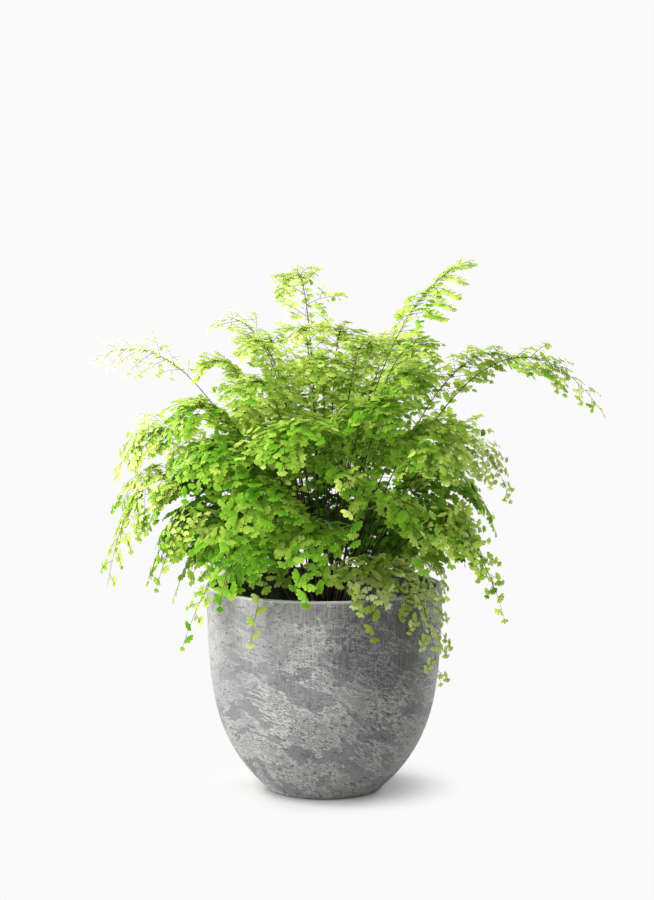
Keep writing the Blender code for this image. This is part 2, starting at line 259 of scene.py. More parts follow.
def lay_out_fronds():
    """Every frond with its stage and whether it leads, in the order of the nodes' numbers."""
    chance = random.Random(SEED)
    fronds = []
    for leader in LEADERS:
        own = between(STAGES, leader.stage)
        blade = (own.blade, own.width * LEADER_WIDTH)
        frond = Frond(leader.azimuth, own.root, leader.pull, leader.tip, *blade, leader.sway)
        fronds.append((frond, leader.stage, True))
    for index in range(OTHERS):
        reach = chance.uniform(-REACH_JITTER, REACH_JITTER)
        lift = chance.uniform(-REACH_JITTER, REACH_JITTER)
        sway = chance.uniform(-SWAY_JITTER, SWAY_JITTER)
        stage = (len(STAGES) - 1) * ((index + 0.5) / OTHERS) ** STAGE_POWER
        azimuth = (FIRST_AZIMUTH + index * GOLDEN_ANGLE) % 360
        if not has_room(stage, azimuth):
            continue
        own = between(STAGES, stage)
        pull = (own.pull_out + reach / 2, own.pull_up + lift)
        tip = (own.tip_out + reach, own.tip_up + lift)
        frond = Frond(azimuth, own.root, pull, tip, own.blade, own.width, sway)
        fronds.append((frond, stage, False))
    return fronds


class FrondCurve:
    """The curve that a frond's stipe and rachis follow, from 0 at the crown to 1 at the tip."""

    def __init__(self, frond):
        angle = math.radians(frond.azimuth)
        self.out = Vector(polar(1, angle))
        self.side = Vector((-math.sin(angle), math.cos(angle), 0.0))
        self.sway = frond.sway
        leaning = Vector((frond.pull[0] - frond.root, frond.pull[1] - SOIL_TOP)).normalized()
        seat = crown_top(frond.root) + GAP + STIPE_RADIUS * leaning.x
        self.ends = ((frond.root, seat), frond.pull, frond.tip)

    def point(self, share):
        weights = ((1 - share) ** 2, 2 * share * (1 - share), share**2)
        reach = sum(weight * end[0] for weight, end in zip(weights, self.ends))
        height = sum(weight * end[1] for weight, end in zip(weights, self.ends))
        return self.out * reach + self.side * self.sway * share**2 + Vector((0.0, 0.0, height))

    def frame(self, share):
        """Where the curve is, the way it runs, the way across it, and the blade's upper side."""
        ahead, behind = min(1.0, share + CURVE_STEP), max(0.0, share - CURVE_STEP)
        along = (self.point(ahead) - self.point(behind)).normalized()
        across = (self.side - along * self.side.dot(along)).normalized()
        return self.point(share), along, across, along.cross(across)


# ------------ meshes from arrays


def mesh_of(name, points, triangles, maps=None):
    """A mesh from arrays of points and triangles. maps gives UV layers as one pair a point."""
    mesh = bpy.data.meshes.new(name)
    points = np.asarray(points, np.float32)
    triangles = np.asarray(triangles, np.int32)
    mesh.vertices.add(len(points))
    mesh.vertices.foreach_set("co", points.ravel())
    mesh.loops.add(triangles.size)
    mesh.loops.foreach_set("vertex_index", triangles.ravel())
    mesh.polygons.add(len(triangles))
    mesh.polygons.foreach_set("loop_start", np.arange(0, triangles.size, 3, dtype=np.int32))
    mesh.update(calc_edges=True)
    for layer, pairs in (maps or {}).items():
        made = mesh.uv_layers.new(name=layer)
        made.uv.foreach_set("vector", np.asarray(pairs, np.float32)[triangles.ravel()].ravel())
    mesh.validate()
    mesh.shade_smooth()
    return mesh


def add_object(name, data):
    item = bpy.data.objects.new(name, data)
    bpy.context.scene.collection.objects.link(item)
    return item


def add_piece(name, mesh, material, slot, *nodes):
    """A finished piece of the object, which stands for the CAD nodes named."""
    mesh.materials.append(material)
    piece = add_object(name, mesh)
    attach(piece, "root")
    if nodes:
        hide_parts(*nodes)


def tube(points, radii, sides):
    """Points and triangles of a tube along points, closed at its end."""
    corners, triangles = [], []
    across = None
    for index, place in enumerate(points):
        ahead = points[min(index + 1, len(points) - 1)] - points[max(index - 1, 0)]
        ahead.normalize()
        if across is None:
            across = ahead.orthogonal().normalized()
        across = (across - ahead * across.dot(ahead)).normalized()
        other = ahead.cross(across)
        for side in range(sides):
            angle = 2 * math.pi * side / sides
            spoke = across * math.cos(angle) + other * math.sin(angle)
            corners.append(place + spoke * radii[index])
    for ring in range(len(points) - 1):
        for side in range(sides):
            low, after = ring * sides + side, ring * sides + (side + 1) % sides
            triangles.append((low, after, after + sides))
            triangles.append((low, after + sides, low + sides))
    last = (len(points) - 1) * sides
    triangles += [(last, last + side, last + side + 1) for side in range(1, sides - 1)]
    return corners, triangles


def tubes_mesh(name, runs):
    """One mesh of many tubes, each given as (points, radii, sides)."""
    corners, triangles = [], []
    for points, radii, sides in runs:
        more, faces = tube(points, radii, sides)
        start = len(corners)
        corners += more
        triangles += [(a + start, b + start, c + start) for a, b, c in faces]
    return mesh_of(name, corners, triangles)


# ------------ leaflets

# A leaflet's outline: lobes, how deep the cuts between them are, the fan's half angle to each
# side in degrees, how much wider it is than long, and how far the blade cups
Outline = namedtuple("Outline", "lobes cut left right wide cup")
OUTLINES = (
    Outline(3, 0.25, 66, 66, 1.15, 0.12),
    Outline(5, 0.19, 74, 74, 1.10, 0.16),
    Outline(4, 0.24, 74, 58, 1.22, 0.14),
    Outline(4, 0.21, 80, 62, 1.16, 0.10),
    Outline(3, 0.22, 70, 56, 1.25, 0.18),
    Outline(5, 0.19, 78, 64, 1.20, 0.14),
)
RAYS_PER_LOBE = 4
RINGS = (0.55, 1.0)
LOBE_POWER = 0.45  # how broad the lobes are: near 0 the cuts are slits
SHOULDER = 0.14  # how much shorter the outermost lobes are
RIPPLE = 0.04
CUP = (0.7, 0.6)  # how far the blade cups across and along, beside its outline's cup


def leaflet_form(outline):
    """A leaflet of radius 1 with its stalk at the origin, fanning out along +Y and facing +Z:
    its points, its triangles, and for each point how far it is across the fan and out along it."""
    rays = outline.lobes * RAYS_PER_LOBE
    points, across = [(0.0, 0.0, 0.0)], [(0.5, 0.0)]
    for ring in RINGS:
        for ray in range(rays + 1):
            share = ray / rays
            angle = math.radians(-outline.left + (outline.left + outline.right) * share)
            lobe = abs(math.sin(math.pi * outline.lobes * share)) ** LOBE_POWER
            scallop = 1 - outline.cut * (1 - lobe)
            shoulder = 1 - SHOULDER * abs(2 * share - 1) ** 3
            reach = ring * (1 + (scallop * shoulder - 1) * ring**2)
            x, y = reach * math.sin(angle) * outline.wide, reach * math.cos(angle)
            ripple = RIPPLE * ring * math.cos(2 * math.pi * outline.lobes * share)
            z = -outline.cup * (CUP[0] * x * x + CUP[1] * y * y) + ripple
            points.append((x, y, z))
            across.append((share, ring))
    triangles = [(0, 2 + ray, 1 + ray) for ray in range(rays)]
    for ring in range(len(RINGS) - 1):
        start = 1 + ring * (rays + 1)
        for ray in range(rays):
            low, high = start + ray, start + rays + 1 + ray
            triangles.append((low, low + 1, high + 1))
            triangles.append((low, high + 1, high))
    return np.array(points), np.array(triangles), np.array(across)


FORMS = [leaflet_form(outline) for outline in OUTLINES]
SYMMETRIC_FORMS = (0, 1)
LOPSIDED_FORMS = (2, 3, 4, 5)


def leaflets_mesh(name, leaves):
    """One mesh of all the leaflets given as (place, way out, normal, radius, form, hand, tone)."""
    points, triangles, fan, tone = [], [], [], []
    start = 0
    for place, out, normal, radius, form, hand, shade in leaves:
        local, faces, spread = FORMS[form]
        across = out.cross(normal) * hand
        turn = np.array((across, out, normal)) * radius
        points.append(local @ turn + np.array(place))
        triangles.append((faces if hand > 0 else faces[:, ::-1]) + start)
        fan.append(spread)
        tone.append(np.tile(shade, (len(local), 1)))
        start += len(local)
    maps = {"fan": np.concatenate(fan), "tone": np.concatenate(tone)}
    return mesh_of(name, np.concatenate(points), np.concatenate(triangles), maps)


# ------------ growing a frond

UP = Vector((0.0, 0.0, 1.0))


def clamp(value):
    return min(1.0, max(0.0, value))


class Growth:
    """The stems and leaflets of one frond."""

    def __init__(self, frond, stage, leads, number):
        habit = LEADER_HABITS[number - 1] if leads else between(HABITS, stage)
        self.curve = FrondCurve(frond)
        self.leaf, self.hang, self.loose = habit.leaf, habit.hang, habit.loose
        self.reach = frond.width * habit.reach
        self.age = self.branch_age = habit.age
        self.start = frond.blade * habit.bare
        self.taper = habit.taper
        if not leads:
            self.suit_side(frond.azimuth, stage)
        self.chance = random.Random(SEED * 1000 + number)
        self.level = clamp((LEVEL_STAGES[1] - stage) / (LEVEL_STAGES[1] - LEVEL_STAGES[0]))
        self.free = 1 - LEVEL_CALM * self.level
        self.roll = ROLL[0 if leads else 1] * math.cos(math.radians(frond.azimuth))
        self.roll = (self.roll + self.chance.uniform(-ROLL_JITTER, ROLL_JITTER)) * self.free
        self.stems, self.leaves = [], []

    def suit_side(self, azimuth, stage):
        """What this frond's side of the plant changes."""
        dark = math.cos(math.radians(azimuth - PAINTED_SIDE_AZIMUTH))
        # painted shade on the upper fronds and painted light on the lower ones, by the side they
        # stand on
        self.age += dark * SIDE_PAINTED_SHADE_AND_LIGHT[0 if stage < WINDOW_TOP else 1]
        if stage > WINDOW_TOP:
            opened = max(0.0, 1 - (azimuth_apart(azimuth, WINDOW[0]) / WINDOW[1]) ** 2)
            self.reach *= 1 - WINDOW_REACH * opened
            self.start += WINDOW_START * opened
        if stage > BACK_TOP and abs(azimuth - BACK[0]) < BACK[1]:
            self.start -= BACK_START

    def blade_frame(self, share):
        """The curve's frame, with the blade rolled about the rachis."""
        place, along, across, upper = self.curve.frame(share)
        turn = Matrix.Rotation(self.roll, 3, along)
        return place, along, turn @ across, turn @ upper

    def grow(self):
        curve, chance, start = self.curve, self.chance, self.start
        shares = evenly(0, 1, STIPE_STEPS)
        foot, loss, power = STIPE_TAPER
        radii = [STIPE_RADIUS * (foot - loss * share**power) for share in shares]
        self.stems.append(([curve.point(share) for share in shares], radii, 6))
        points = [curve.point(share) for share in evenly(start, 1, RACHIS_STEPS)]
        length = sum((b - a).length for a, b in zip(points, points[1:]))
        count = round(length / BRANCH_STEP)
        low, gain, top = LOW_BRANCHES
        for index in range(count):
            along_blade = (index + BRANCH_PLACE) / count
            share = start + (1 - start) * along_blade
            place, along, across, upper = self.blade_frame(share)
            hand = 1 if index % 2 else -1
            reach = self.reach * (1 - along_blade) ** self.taper
            reach *= (low + gain * min(1.0, along_blade / top)) * chance.uniform(*BRANCH_VARY)
            angle = BRANCH_ANGLE * (1 - TIP_LOSS * along_blade)
            angle += chance.uniform(-BRANCH_JITTER, BRANCH_JITTER)
            way = along * math.cos(angle) + across * (hand * math.sin(angle))
            way = (way - upper * chance.uniform(*BRANCH_DIP)).normalized()
            leaf = self.leaf * (1 - TIP_LOSS * along_blade)
            self.branch_age = self.age + chance.gauss(0.0, BRANCH_AGE_SPREAD)
            self.branch(place, way, upper, reach, leaf, hand, 0)
        place, along, across, upper = self.blade_frame(1.0)
        self.leaflet(place, along, upper, self.leaf * 0.6, 1, True)

    def branch(self, place, way, normal, length, leaf, hand, order):
        """A branch with leaflets on alternate sides, which bends down under its own weight. Its
        side twigs are branches of order 1."""
        chance = self.chance
        if length < SHORTEST_BRANCH * leaf:
            self.leaflet(place, way, normal, leaf, hand, False)
            return
        steps = max(3, round(length / BRANCH_BEND))
        step = length / steps
        path, ways = [place.copy()], []
        sag = self.hang * step / HANG_LENGTH
        for index in range(steps):
            ways.append(way.copy())
            place = place + way * step
            path.append(place.copy())
            way = (way - UP * (sag * chance.uniform(0.5, 1.5))).normalized()
        ways.append(way)
        radii = [BRANCH_RADII[order] * (1 - BRANCH_TAPER * k / steps) for k in range(steps + 1)]
        self.stems.append((path, radii, BRANCH_SIDES[order]))
        run = FIRST_LEAF * leaf
        turn = hand
        while run < length - 0.3 * leaf:
            share = run / length
            at = share * steps
            low = min(int(at), steps - 1)
            here = path[low].lerp(path[low + 1], at - low)
            ahead = ways[low]
            flat = (normal - ahead * normal.dot(ahead)).normalized()
            side = ahead.cross(flat)
            angle = LEAF_ANGLE * (1.08 - 0.35 * share) + chance.uniform(-LEAF_JITTER, LEAF_JITTER)
            out = (ahead * math.cos(angle) + side * (turn * math.sin(angle))).normalized()
            size = leaf * (1.05 - 0.30 * share) * chance.uniform(*LEAF_VARY)
            twig = TWIG_SHARE * (length - run)
            if order == 0 and twig > SHORTEST_TWIG * leaf:
                self.branch(here, out, flat, twig, size * TWIG_LEAF, turn, 1)
                run += TWIG_STEP * leaf * self.loose
            else:
                self.leaflet(here, out, flat, size, turn, False)
                run += LEAF_STEP * leaf * self.loose * (1 - 0.3 * share)
            turn = -turn
        self.leaflet(path[-1], ways[-1], normal, leaf * LAST_LEAF, 1, True)

    def leaflet(self, place, out, normal, radius, hand, last):
        """A leaflet at the end of its own short stalk."""
        chance = self.chance
        out = (out - UP * (0.35 * self.hang * chance.random())).normalized()
        upper, sky, away = (free + self.level * more for free, more in zip(FACING, FACING_LEVEL))
        facing = normal * upper + UP * sky + self.curve.out * away
        jitter = [chance.uniform(-FACING_JITTER, FACING_JITTER) for axis in range(3)]
        facing += Vector(jitter) * self.free
        facing = (facing - out * facing.dot(out)).normalized()
        tip = place + out * (radius * STALK_SHARE)
        self.stems.append(([place, tip], STALK_RADII, 3))
        form = chance.choice(SYMMETRIC_FORMS if last else LOPSIDED_FORMS)
        # painted shade in the depth of the plant, near the axis and low down, added to the age
        deep = max(0.0, 1 - math.hypot(tip.x, tip.y) / DEEP_RADIUS)
        deep *= clamp((DEEP_TOP - tip.z) / DEEP_FADE)
        age = self.branch_age + DEEP_PAINTED_SHADE * deep + chance.gauss(0.0, LEAF_AGE_SPREAD)
        self.leaves.append((tip, out, facing, radius, form, hand, (clamp(age), chance.random())))


# ------------ node materials


class Nodes:
    """Short names for wiring the nodes of a material, or of the world."""

    def __init__(self, name, world=False):
        self.owner = (bpy.data.worlds if world else bpy.data.materials).new(name)
        self.owner.use_nodes = True
        self.tree = self.owner.node_tree
        self.tree.nodes.clear()
        self.output = self.add("OutputWorld" if world else "OutputMaterial")

    def add(self, kind, values=None, **settings):
        node = self.tree.nodes.new("ShaderNode" + kind)
        for key, value in settings.items():
            setattr(node, key, value)
        for key, value in (values or {}).items():
            socket = node.inputs[key]
            if isinstance(value, bpy.types.NodeSocket):
                self.tree.links.new(value, socket)
            else:
                socket.default_value = value
        return node

    def first(self, kind, values=None, **settings):
        """A new node's first output."""
        return self.add(kind, values, **settings).outputs[0]

    def finish(self, shader):
        self.tree.links.new(shader, self.output.inputs["Surface"])
        return self.owner

    def place(self):
        return self.add("TexCoord").outputs["Object"]

    def map(self, name):
        """The two numbers of a UV layer."""
        return self.parts(self.first("UVMap", uv_map=name))[:2]

    def parts(self, vector):
        node = self.add("SeparateXYZ", {0: vector})
        return [node.outputs[axis] for axis in "XYZ"]

    def joined(self, *parts):
        return self.first("CombineXYZ", dict(enumerate(parts)))

    def vector(self, operation, *vectors):
        """A vector, or a number for a dot product, a length or a distance."""
        node = self.add("VectorMath", dict(enumerate(vectors)), operation=operation)
        number = operation in ("DOT_PRODUCT", "LENGTH", "DISTANCE")
        return node.outputs["Value" if number else "Vector"]

    def math(self, operation, first, second=0.0):
        return self.first("Math", {0: first, 1: second}, operation=operation)

    def times(self, first, second):
        return self.math("MULTIPLY", first, second)

    def span(self, value, low, high, to_low=0.0, to_high=1.0):
        """The value's place from low to high, eased and carried over to the other two numbers."""
        values = dict(enumerate((value, low, high, to_low, to_high)))
        return self.first("MapRange", values, interpolation_type="SMOOTHSTEP")

    def noise(self, vector, scale, detail=4.0, roughness=0.55, distortion=0.0):
        values = {"Vector": vector, "Scale": scale, "Detail": detail, "Roughness": roughness}
        values["Distortion"] = distortion
        return self.first("TexNoise", values)

    def ramp(self, value, *stops):
        """A colour ramp. Each stop is (position, colour)."""
        node = self.add("ValToRGB", {"Fac": value})
        band = node.color_ramp
        while len(band.elements) < len(stops):
            band.elements.new(1.0)
        for element, (position, colour) in zip(band.elements, stops):
            element.position = position
            element.color = (*colour, 1.0)
        return node.outputs["Color"]

    def mix(self, share, first, second):
        """The first colour with a share of the second. Inputs 6 and 7 are the node's colours."""
        first, second = ((*c, 1.0) if isinstance(c, tuple) else c for c in (first, second))
        return self.add("Mix", {0: share, 6: first, 7: second}, data_type="RGBA").outputs[2]

    def bump(self, height, strength, distance):
        values = {"Height": height, "Strength": strength, "Distance": distance}
        return self.first("Bump", values)

    def face(self, colour, roughness, normal=None, specular=0.5):
        values = {"Base Color": colour, "Roughness": roughness, "Specular IOR Level": specular}
        if normal is not None:
            values["Normal"] = normal
        return self.first("BsdfPrincipled", values)


def leaf_material():
    """Leaflets from pale yellow-green to deep green, with painted light making them paler at the
    plant's lit upper left.
    """
    made = Nodes("leaflet")
    place = made.place()
    across, out = made.map("fan")
    # the age also carries painted shade in the depth of the plant, and painted shade and light by
    # side
    age, own = made.map("tone")
    patch = made.noise(place, 14.0, 2.0)
    shade = made.math("ADD", made.times(age, 0.80), made.times(patch, 0.30))
    # painted light: leaflets towards the upper left, where the lamps fall, are made paler
    painted_light = made.vector("DOT_PRODUCT", place, (-0.55, 0.0, 0.83))
    painted_light = made.span(painted_light, 0.34, 0.62, 0.0, 0.20)
    shade = made.math("SUBTRACT", made.math("SUBTRACT", shade, painted_light), 0.05)
    blade = made.ramp(
        shade,
        (0.00, (0.69, 0.77, 0.47)),
        (0.20, (0.56, 0.63, 0.20)),
        (0.42, (0.318, 0.425, 0.070)),
        (0.60, (0.142, 0.318, 0.016)),
        (0.86, (0.026, 0.134, 0.003)),
    )
    # a paler, yellower margin: partly the leaflet's own colour, partly painted light where its thin
    # edge is lit from behind
    margin_and_backlight = made.times(made.span(out, 0.74, 1.0), 0.60)
    blade = made.mix(margin_and_backlight, blade, made.mix(0.45, blade, (0.56, 0.74, 0.15)))
    veins = made.math("SINE", made.times(across, 88.0))
    veins = made.times(made.span(veins, 0.3, 1.0), made.span(out, 0.1, 0.6))
    blade = made.mix(made.times(veins, 0.20), blade, (0.16, 0.33, 0.03))
    blade = made.mix(made.times(own, 0.26), blade, (0.074, 0.225, 0.010))
    # painted shade: darker towards the stalk, within the leaflet
    blade = made.mix(made.span(out, 0.05, 0.60, 0.40, 0.0), blade, (0.04, 0.17, 0.003))
    rough = made.span(made.noise(place, 180.0, 2.0), 0.3, 0.7, 0.46, 0.62)
    face = made.face(blade, rough, made.bump(veins, 0.25, 0.0002), 0.06)
    glow = made.mix(0.34, blade, (0.64, 0.77, 0.17))
    back = made.first("BsdfTranslucent", {"Color": glow})
    return made.finish(made.first("MixShader", {0: 0.46, 1: face, 2: back}))


def stem_material():
    """Near-black wiry stems, paler where they reach into the light at the far upper left."""
    made = Nodes("stipe")
    place = made.place()
    grain = made.noise(place, 160.0, 3.0)
    colour = made.ramp(grain, (0.3, (0.008, 0.004, 0.003)), (0.7, (0.045, 0.018, 0.010)))
    young = made.span(made.parts(place)[2], 0.25, 0.62, 0.0, 0.35)
    colour = made.mix(young, colour, (0.035, 0.017, 0.007))
    lit = made.vector("DOT_PRODUCT", place, (-0.90, 0.0, 0.43))
    colour = made.mix(made.span(lit, 0.31, 0.43, 0.0, 0.75), colour, (0.30, 0.27, 0.17))
    return made.finish(made.face(colour, made.span(grain, 0.3, 0.7, 0.30, 0.55), None, 0.25))


WORN_AND_SHADED_PATCH = (0.062, -0.125, 0.205)  # where the planter's skim coat is worn thin, and where painted shade of the foliage above darkens it


def skim_coat(made, flat):
    """The planter's torn skim coat at a point of a plane: where it lies, its light ridges and the
    dark grain between them, each 0 to 1. It was drawn down across the planter at a slant."""
    wobble = made.add("TexNoise", {"Vector": flat, "Scale": 26.0, "Detail": 4.0}).outputs["Color"]
    wobble = made.first("VectorMath", {0: wobble, "Scale": 0.014}, operation="SCALE")
    bent = made.vector("ADD", flat, wobble)
    height = made.parts(flat)[1]
    slant = made.span(height, 0.0, 0.24, 0.75, 0.05)
    drawn = made.first("VectorRotate", {"Vector": bent, "Angle": slant}, rotation_type="Z_AXIS")
    drawn = made.vector("MULTIPLY", drawn, (0.56, 1.0, 1.0))
    flakes = made.noise(drawn, 32.0, 10.0, 0.70, 0.25)
    off = made.math("ABSOLUTE", made.math("SUBTRACT", flakes, 0.5))
    outline = made.span(off, 0.0, 0.013, 1.0, 0.0)
    where = made.span(flakes, 0.48, 0.52)
    fine = made.noise(drawn, 290.0, 5.0, 0.65, 0.4)
    lines = made.math("ABSOLUTE", made.math("SUBTRACT", fine, 0.5))
    lines = made.span(lines, 0.0, 0.036, 1.0, 0.0)
    gather = made.noise(flat, 22.0, 3.0, 0.6, 0.5)
    lines = made.times(lines, made.span(gather, 0.32, 0.58, 0.22, 1.0))
    lines = made.times(lines, made.math("ADD", made.times(where, 0.65), 0.35))
    light = made.math("MAXIMUM", outline, lines)
    combed = made.noise(made.vector("MULTIPLY", flat, (1.0, 0.05, 1.0)), 620.0, 2.0)
    combed = made.times(made.span(combed, 0.45, 0.70), made.span(height, 0.11, 0.20, 0.0, 0.38))
    return where, made.math("MAXIMUM", light, combed), made.span(fine, 0.52, 0.66)


def planter_material():
    """Grey stone composite under a torn skim coat. The coat is worked out on two planes, one for
    the front and back and one for the flanks, with another part of the noise on each side."""
    made = Nodes("planter_stone")
    place = made.place()
    x, y, z = made.parts(place)
    behind = made.times(made.math("GREATER_THAN", y, 0.0), 3.3)
    right = made.math("ADD", made.times(made.math("GREATER_THAN", x, 0.0), 2.1), 7.3)
    around = made.vector("LENGTH", made.joined(x, y))
    facing = made.span(made.math("DIVIDE", made.math("ABSOLUTE", x), around), 0.70, 0.80)
    front = skim_coat(made, made.joined(x, z, behind))
    flank = skim_coat(made, made.joined(y, z, right))
    thick, light, dark = (
        made.first("Mix", {0: facing, 2: one, 3: other}, data_type="FLOAT")
        for one, other in zip(front, flank)
    )
    smooth = made.vector("DOT_PRODUCT", place, (-0.9, -0.35, 0.30))
    light = made.times(light, made.span(smooth, 0.115, 0.175, 1.0, 0.35))
    cloud = made.noise(place, 7.0, 3.0, 0.6, 0.4)
    mottle = made.noise(place, 240.0, 4.0, 0.7)
    base = made.ramp(
        cloud,
        (0.32, (0.114, 0.115, 0.122)),
        (0.52, (0.170, 0.170, 0.174)),
        (0.70, (0.248, 0.246, 0.244)),
    )
    coat = made.mix(made.span(mottle, 0.35, 0.65), (0.238, 0.233, 0.222), (0.325, 0.318, 0.303))
    # less of the pale coat towards the top and more towards the foot, as painted shade under the
    # foliage and painted light of the floor's bounce
    colour = made.mix(made.times(thick, made.span(z, 0.0, 0.20, 0.52, 0.16)), base, coat)
    # the worn patch, which is darker also as painted shade of the foliage above
    bare = made.math("ADD", made.vector("DISTANCE", place, WORN_AND_SHADED_PATCH), made.times(cloud, 0.06))
    bare = made.span(bare, 0.075, 0.110, 1.0, 0.0)
    colour = made.mix(made.times(bare, 0.72), colour, (0.065, 0.066, 0.072))
    colour = made.mix(made.times(dark, 0.80), colour, (0.065, 0.065, 0.068))
    light = made.times(light, made.math("SUBTRACT", 1.0, made.times(bare, 0.35)))
    colour = made.mix(made.times(light, 0.90), colour, (0.59, 0.58, 0.55))
    colour = made.mix(made.span(mottle, 0.55, 0.75, 0.0, 0.3), colour, (0.09, 0.09, 0.092))
    # painted highlight: a light band along the top of the lip
    painted_rim_highlight = made.span(z, HEIGHT - 0.0035, HEIGHT - 0.001)
    colour = made.mix(made.times(painted_rim_highlight, 0.7), colour, (0.48, 0.48, 0.48))
    # painted shade: the foot's lowest edge is darkened where its contact shadow falls
    foot = made.span(z, 0.0008, 0.0045, 0.75, 0.0)
    colour = made.mix(foot, colour, (0.030, 0.030, 0.032))
    relief = made.math("ADD", light, made.times(thick, 0.5))
    relief = made.math("SUBTRACT", relief, made.times(dark, 0.5))
    relief = made.math("ADD", relief, made.times(mottle, 0.5))
    rough = made.span(light, 0.0, 1.0, 0.42, 0.60)
    return made.finish(made.face(colour, rough, made.bump(relief, 0.45, 0.0005)))


def soil_material():
    made = Nodes("potting_soil")
    place = made.place()
    grain = made.noise(place, 260.0, 6.0, 0.7)
    crumbs = made.first("TexVoronoi", {"Vector": place, "Scale": 420.0})
    colour = made.ramp(
        grain,
        (0.30, (0.010, 0.006, 0.004)),
        (0.55, (0.040, 0.024, 0.014)),
        (0.75, (0.110, 0.070, 0.040)),
    )
    relief = made.bump(made.math("ADD", grain, crumbs), 0.9, 0.002)
    return made.finish(made.face(colour, made.span(grain, 0.3, 0.7, 0.80, 0.98), relief))


def rootstock_material():
    made = Nodes("rootstock")
    hair = made.vector("MULTIPLY", made.place(), (700.0, 700.0, 120.0))
    hair = made.noise(hair, 1.0, 4.0, 0.65)
    colour = made.ramp(
        hair,
        (0.35, (0.008, 0.004, 0.003)),
        (0.60, (0.035, 0.018, 0.010)),
        (0.80, (0.120, 0.070, 0.035)),
    )
    rough = made.span(hair, 0.3, 0.7, 0.65, 0.9)
    return made.finish(made.face(colour, rough, made.bump(hair, 0.8, 0.0012)))


def grainy_material(name, dark, light, grain_form, rough, relief):
    """A plain material with a fine grain. grain_form is its scale, detail and roughness."""
    made = Nodes(name)
    grain = made.noise(made.place(), *grain_form)
    colour = made.ramp(grain, (0.3, dark), (0.7, light))
    rough = made.span(grain, 0.3, 0.7, *rough)
    return made.finish(made.face(colour, rough, made.bump(grain, *relief)))


def bark_material():
    colours = (0.022, 0.011, 0.006), (0.115, 0.062, 0.032)
    return grainy_material("bark_crumbs", *colours, (420.0, 4.0, 0.65), (0.75, 0.95), (0.6, 0.0008))


def perlite_material():
    colours = (0.42, 0.40, 0.36), (0.68, 0.67, 0.63)
    grain_form, relief = (600.0, 4.0, 0.65), (0.5, 0.0005)
    return grainy_material("perlite_grains", *colours, grain_form, (0.8, 0.95), relief)


def mesh_plastic_material():
    colours = (0.012, 0.012, 0.012), (0.035, 0.034, 0.032)
    return grainy_material("mesh_plastic", *colours, (300.0, 3.0, 0.55), (0.5, 0.7), (0.3, 0.0003))


# ------------ planter and soil

POT_AROUND = 192
FOOT_EDGE = 0.004
LIP_POWER = 0.7  # below 1 the lip is squarer than a half circle
SOIL_EDGE = 0.010  # how deep below its top the soil's wall is smooth


def lumpy(start, *waves):
    """A function that lifts a point above the height start by waves of noise, given as (size,
    closeness)."""

    def lift(point):
        return sum(size * noise.noise(point * close) for size, close in waves) * (point.z > start)

    return lift


def turned(name, profile, sides, lift=None):
    """A closed turned mesh whose profile starts and ends on the axis."""
    rings = profile[1:-1]
    angles = evenly(0, 2 * math.pi, sides)[:-1]
    points = [(0.0, 0.0, profile[0][1])]
    for radius, height in rings:
        points += [polar(radius, angle, height) for angle in angles]
    points.append((0.0, 0.0, profile[-1][1]))
    if lift:
        points = [(x, y, z + lift(Vector((x, y, z)))) for x, y, z in points]
    last = len(points) - 1
    triangles = []
    for side in range(sides):
        after = (side + 1) % sides
        triangles.append((0, 1 + after, 1 + side))
        for ring in range(len(rings) - 1):
            low = 1 + ring * sides
            triangles.append((low + side, low + after, low + sides + after))
            triangles.append((low + side, low + sides + after, low + sides + side))
        top = 1 + (len(rings) - 1) * sides
        triangles.append((last, top + side, top + after))
    return mesh_of(name, points, triangles)


def planter_profile():
    """The wall from the foot's centre, up the outside, over the lip and down to the floor."""
    lip = WALL / 2
    shoulder = HEIGHT - lip
    flat = FOOT_RADIUS - FOOT_EDGE
    rounding = outer_radius(FOOT_EDGE) - FOOT_RADIUS + FOOT_EDGE
    profile = [(0.0, 0.0), (flat, 0.0)]
    for step in range(1, 5):
        angle = math.pi / 2 * step / 5
        profile.append((flat + rounding * math.sin(angle), FOOT_EDGE * (1 - math.cos(angle))))
    profile += [(outer_radius(height), height) for height in evenly(FOOT_EDGE, shoulder, 40)]
    middle = outer_radius(shoulder) - lip
    for step in range(1, 12):
        angle = math.pi * step / 12
        squared = math.copysign(abs(math.cos(angle)) ** LIP_POWER, math.cos(angle))
        profile.append((middle + lip * squared, shoulder + lip * abs(math.sin(angle)) ** LIP_POWER))
    inside = evenly(shoulder, FLOOR_THICKNESS, 24)
    profile += [(outer_radius(height) - WALL, height) for height in inside]
    profile.append((0.0, FLOOR_THICKNESS))
    return profile


def cut_drain_holes(mesh):
    """The same mesh with the drain holes cut through its floor."""
    body = add_object("planter_blank", mesh)
    low, high = -FLOOR_THICKNESS, 2 * FLOOR_THICKNESS
    profile = [(0.0, low), (DRAIN_RADIUS, low), (DRAIN_RADIUS, high), (0.0, high)]
    cutters = []
    for angle in evenly(0, 2 * math.pi, DRAIN_HOLES)[:-1]:
        cutter = add_object("drain_cutter", turned("drain_cutter", profile, 32))
        cutter.location = polar(DRAIN_RING, angle + math.pi / 2)
        body.modifiers.new("cut", "BOOLEAN").object = cutter
        cutters.append(cutter)
    view = bpy.context.evaluated_depsgraph_get()
    view.update()
    drilled = bpy.data.meshes.new_from_object(body.evaluated_get(view))
    for item in (body, *cutters):
        bpy.data.objects.remove(item, do_unlink=True)
    drilled.shade_smooth()
    drilled.set_sharp_from_angle(angle=math.radians(40))
    return drilled


def build_planter():
    mesh = cut_drain_holes(turned("planter_body", planter_profile(), POT_AROUND))
    add_piece("planter_body", mesh, planter_material(), "planter_stone", "planter")


